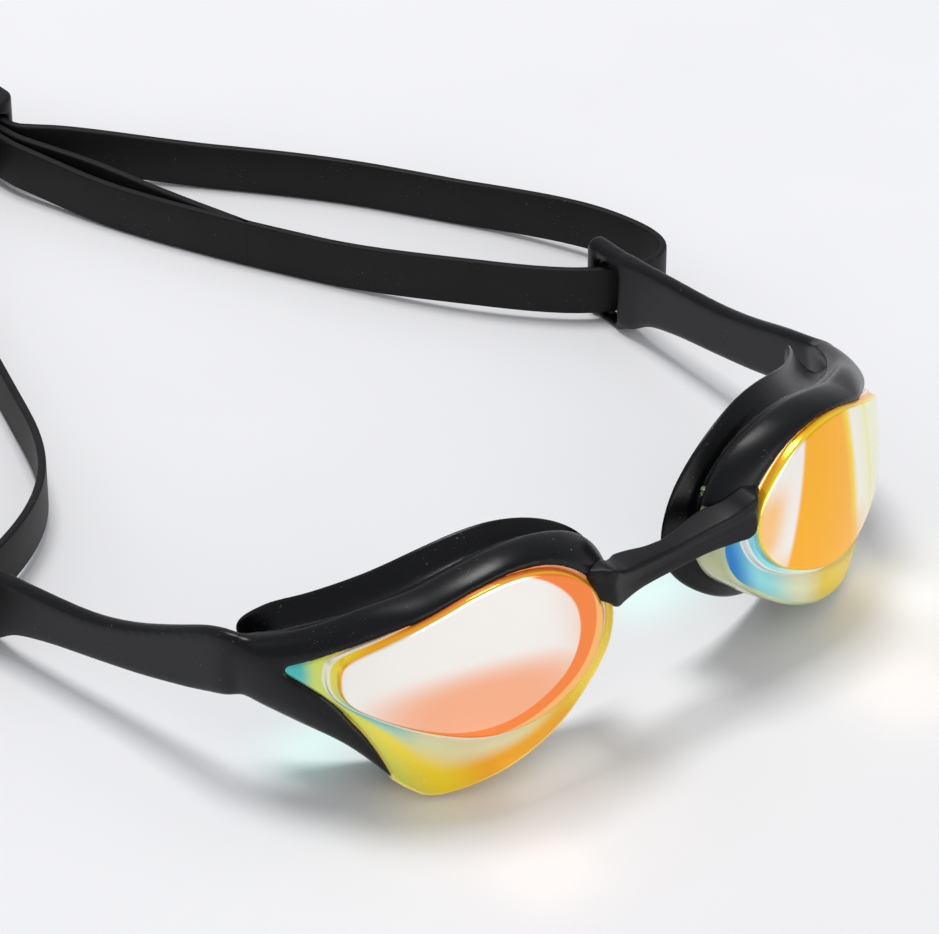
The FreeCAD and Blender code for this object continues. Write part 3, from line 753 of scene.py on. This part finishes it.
def build_bridge():
    """A slim moulded bar, hollowed along its front, that swells into an upright block at each end."""
    half = catmull(BRIDGE)
    whole = np.vstack([half[:0:-1] * np.array([-1, 1, 1, 1, 1]), half])
    heights = np.linspace(0.75, -0.75, 7)
    hollow = 0.34 * np.exp(-((heights - 0.1) / 0.5) ** 2)
    rings = []
    for across, front, rear, low, high in whole:
        deep, tall = (rear - front) / 2, (high - low) / 2
        corner = min(0.75, deep * 0.8)
        straight = heights * (tall - corner)
        upper_rear, upper_front, lower_front, lower_rear = rounded_corners(deep, tall, corner, 7)
        ring = np.vstack([upper_rear, upper_front, np.column_stack([hollow - deep, straight]), lower_front,
                          lower_rear, np.column_stack([np.full(len(heights), deep), -straight])])
        ring = ring + np.array([(front + rear) / 2, (low + high) / 2])
        rings.append(np.column_stack([np.full(len(ring), across), ring]))
    piece = skin("bridge_clip", row(rings), smooth_angle=45)
    finish_piece(piece, (CLIP_PLASTIC,), "bridge", "bridge", "nose_bridge")


# ------------------------------------------------------------------ strap and rear clip

STRAP = {
    "right": [(10.8, 208.0), (10.8, 181.5), (12.0, 176.5), (17.3, 158.5), (25.3, 139.5), (36.5, 117.0),
              (44.2, 104.0), (52.2, 93.8), (58.6, 88.0), (66.8, 84.4), (72.9, 87.6), (72.2, 98.5),
              (65.8, 115.5), (58.5, 128.5), (49.6, 143.6), (36.8, 160.0), (21.2, 178.2), (16.3, 182.6),
              (14.2, 185.2), (14.2, 208.0)],
    "left": [(-10.8, 208.0), (-10.8, 181.5), (-12.1, 176.5), (-17.8, 158.5), (-25.2, 137.5), (-32.2, 117.5),
             (-36.5, 107.5), (-41.6, 99.7), (-48.4, 93.8), (-57.2, 89.2), (-66.4, 86.1), (-73.4, 83.6),
             (-79.0, 87.6), (-78.0, 98.5), (-71.6, 115.5), (-64.2, 129.5), (-54.5, 145.0), (-41.0, 161.0),
             (-21.6, 178.2), (-16.4, 182.6), (-14.2, 185.2), (-14.2, 208.0)]}
SPLIT = {
    "right": [(12.5, 208.0), (12.5, 183.4), (13.9, 178.5), (19.6, 166.0), (22.6, 152.0), (26.6, 137.0)],
    "left": [(-12.5, 208.0), (-12.5, 183.4), (-13.9, 178.5), (-19.8, 166.0), (-23.0, 152.0), (-26.3, 135.0)]}


BAND_THICK, BAND_TALL, BAND_MIDDLE, BAND_STEP = 1.3, 8.2, 5.7, 1.1
DROOP, DROOP_RUN, DROOP_EASE = 1.45, (100.0, 184.0), 26.0


def easy(points, rounds=4):
    """Corners cut again and again, which gives the gentle curve that a band takes through its bends."""
    line = np.asarray(points, float)
    for _ in range(rounds):
        ahead = line[:-1] * 0.75 + line[1:] * 0.25
        behind = line[:-1] * 0.25 + line[1:] * 0.75
        line = np.vstack([line[:1], np.stack([ahead, behind], axis=1).reshape(-1, 2), line[-1:]])
    return line


def droop(back):
    """How far the band sinks between the arm and the rear clip, where it settles on the table."""
    (from_arm, to_clip), run = DROOP_RUN, DROOP_EASE
    share = min(max((back - from_arm) / run, 0), 1) * min(max((to_clip - back) / run, 0), 1)
    return DROOP * share * share * (3 - 2 * share)


def band(name, route):
    """A flat moulded band on edge, with its corners rounded."""
    line = easy(route)
    length = np.linalg.norm(np.diff(line, axis=0), axis=1).sum()
    line = spaced(line, int(length / BAND_STEP))
    ahead = np.gradient(line, axis=0)
    ahead /= np.linalg.norm(ahead, axis=1)[:, None]
    side = np.stack([-ahead[:, 1], ahead[:, 0]], axis=1)
    section = np.vstack(rounded_corners(BAND_THICK / 2, BAND_TALL / 2, 0.42, 6))
    rings = []
    for place, across in zip(line, side):
        flat = place + across * section[:, :1]
        rings.append(np.column_stack([flat, BAND_MIDDLE - droop(place[1]) + section[:, 1]]))
    return skin(name, row(rings), smooth_angle=50)


def build_strap(side):
    """The strap's band, folded round the arm's last bar, and the second band of its split rear."""
    piece = merged(band(f"strap_band_{side}", STRAP[side]), band("split", SPLIT[side]))
    piece.data.shade_smooth()
    piece.data.set_sharp_from_angle(angle=math.radians(50))
    finish_piece(piece, (STRAP_RUBBER,), "strap", "strap", f"head_strap_{side}")


def build_clip():
    """The rear clip: the CAD's own shape with its edges rounded."""
    piece = copied("rear_clip_moulding", "rear_clip")
    smoothed(piece, 0.4, 6)
    finish_piece(piece, (CLIP_PLASTIC,), "clip", "clip", "rear_clip")


for each_side in SIDES:
    build_lens(each_side)
    build_post(each_side)
    build_seal(each_side)
    build_frame(each_side)
    build_strap(each_side)
build_bridge()
build_clip()

# ------------------------------------------------------------------ floor, light and camera

look = Look("pale_table", Roughness=0.62, Specular_IOR_Level=0.25)
tone = look.ramp(look.noise(9, 4), [(0.3, (0.80, 0.80, 0.815)), (0.7, (0.825, 0.825, 0.84))])
look.join(tone, look.shader.inputs["Base Color"])
look.bump(look.noise(700, 3), 0.05, 0.0002)
bpy.ops.mesh.primitive_grid_add(x_subdivisions=8, y_subdivisions=8, size=6.0, location=(0, 0, 0))
floor = bpy.context.object
floor.name = "table_top"
floor.data.materials.append(look.material)


def soft_light(name, place, aim, size, power, colour=(1, 1, 1)):
    """A rectangular lamp at a place, turned towards an aim; in metres and watts."""
    data = bpy.data.lights.new(name, "AREA")
    data.shape = "RECTANGLE"
    data.size, data.size_y = size
    data.energy = power
    data.color = colour
    lamp = linked(name, data)
    lamp.location = place
    lamp.rotation_euler = (Vector(aim) - Vector(place)).to_track_quat("-Z", "Y").to_euler()


ON_PART = (0, -0.03, 0)
soft_light("overhead", (0.02, 0.16, 0.9), ON_PART, (0.30, 0.30), 5.0)
soft_light("window", (-0.75, 0.55, 0.6), ON_PART, (0.5, 0.5), 0.25)
soft_light("front", (-0.15, -1.3, 0.30), (0, -0.03, 0.02), (1.6, 0.7), 8)
TEAL_GLOW, WHITE_GLOW, PEACH_GLOW = (0.1, 1.0, 0.75), (0.97, 0.98, 1.0), (1.0, 0.72, 0.5)
GLOW_HEIGHT = 5.0
# the tinted light that the lenses throw on the table: across, back, colour, size, power
for reach, rear, tint, size, power in (
        (16.6, 28.9, TEAL_GLOW, (0.014, 0.008), 0.00016),
        (-43.6, 33.0, TEAL_GLOW, (0.014, 0.008), 0.00016),
        (43.4, 11.7, WHITE_GLOW, (0.008, 0.024), 0.0003),
        (-22.7, 6.2, WHITE_GLOW, (0.018, 0.008), 0.00022),
        (-37.9, -9.4, PEACH_GLOW, (0.014, 0.014), 0.00012),
        (27.7, -12.3, PEACH_GLOW, (0.014, 0.014), 0.00012)):
    soft_light("lens_glow", row([reach, rear, GLOW_HEIGHT]), row([reach, rear, 0.0]), size, power, tint)

world = bpy.data.worlds.new("studio")
world.use_nodes = True
world.node_tree.nodes["Background"].inputs["Color"].default_value = (0.93, 0.94, 0.97, 1)
world.node_tree.nodes["Background"].inputs["Strength"].default_value = 0.5
bpy.context.scene.world = world
bpy.context.scene.view_settings.view_transform = "Standard"

AZIMUTH, ELEVATION, DISTANCE = math.radians(-40.6), math.radians(34.8), 0.7
target = Vector(row([2.47, 54.12, 15.0]))
towards_camera = Vector((math.sin(AZIMUTH) * math.cos(ELEVATION),
                         -math.cos(AZIMUTH) * math.cos(ELEVATION), math.sin(ELEVATION)))
camera_data = bpy.data.cameras.new("camera")
camera_data.lens = 183.3
camera_data.sensor_width = 36.0
camera_data.clip_start = 0.02
camera = linked("camera", camera_data)
camera.location = target + towards_camera * DISTANCE
camera.rotation_euler = (-towards_camera).to_track_quat("-Z", "Y").to_euler()
bpy.context.scene.camera = camera
